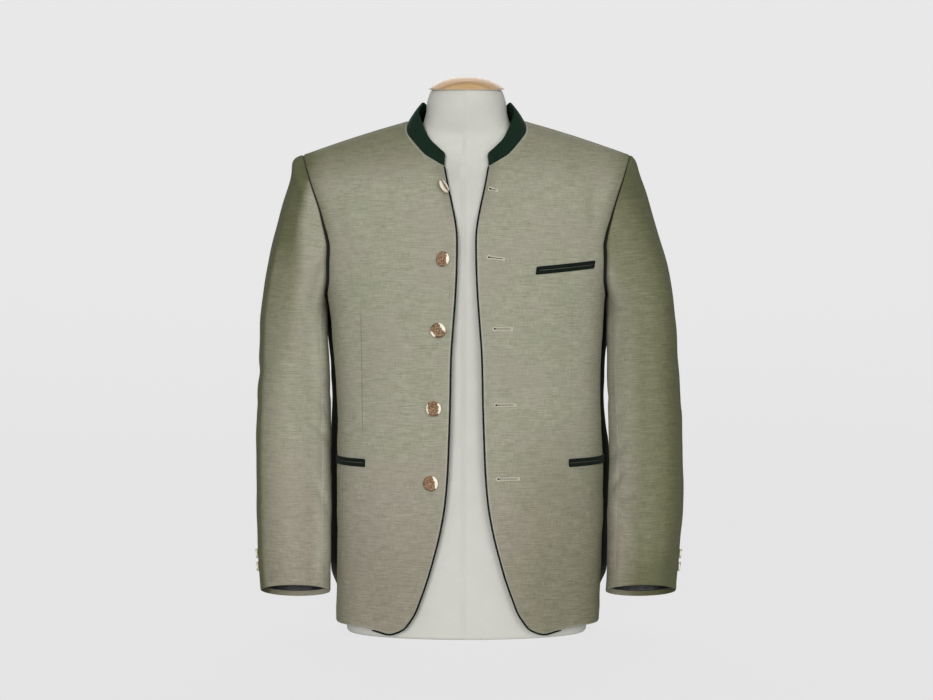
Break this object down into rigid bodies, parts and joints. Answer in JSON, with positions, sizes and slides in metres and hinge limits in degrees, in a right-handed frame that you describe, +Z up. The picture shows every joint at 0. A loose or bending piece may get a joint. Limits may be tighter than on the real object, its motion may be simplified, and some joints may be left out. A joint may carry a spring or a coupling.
{
  "type": "linen jacket on a limbless dress form",
  "caption": "Open-fronted linen jacket with a dark felt stand collar, piped edges, set-in sleeves and piped pockets, worn by a limbless dress form with a shallow wooden neck cap.",
  "frame": {"origin": "middle of the dress form's flat base, on the surface it stands on", "axes": "+Z up, -Y towards the jacket's front, +X towards the wearer's left"},
  "size_m": [0.614, 0.2492, 0.7957],
  "materials": {
    "linen": "grey-olive linen with fine horizontal slubs",
    "felt": "dark bottle-green felted wool",
    "piping": "very dark green woven trim",
    "lining": "black satin lining",
    "horn": "cream stag horn with a rough brown face",
    "cover": "off-white cotton cover",
    "wood": "varnished beech"
  },
  "bodies": {
    "root": {"front_left": "linen", "front_right": "linen", "back_left": "linen", "back_right": "linen", "top_sleeve_left": "linen", "top_sleeve_right": "linen", "under_sleeve_left": "linen", "under_sleeve_right": "linen", "cuff_lining_left": "lining", "cuff_lining_right": "lining", "collar": "felt", "edge_piping_left": "piping", "edge_piping_right": "piping", "hip_pocket_left_upper_lip": "piping", "hip_pocket_left_lower_lip": "piping", "hip_pocket_right_upper_lip": "piping", "hip_pocket_right_lower_lip": "piping", "breast_pocket_upper_lip": "piping", "breast_pocket_lower_lip": "piping", "button_1": "horn", "button_2": "horn", "button_3": "horn", "button_4": "horn", "button_5": "horn", "cuff_button_left_1": "horn", "cuff_button_left_2": "horn", "cuff_button_right_1": "horn", "cuff_button_right_2": "horn", "form_torso": "cover", "form_neck_cap": "wood"}
  },
  "joints": []
}
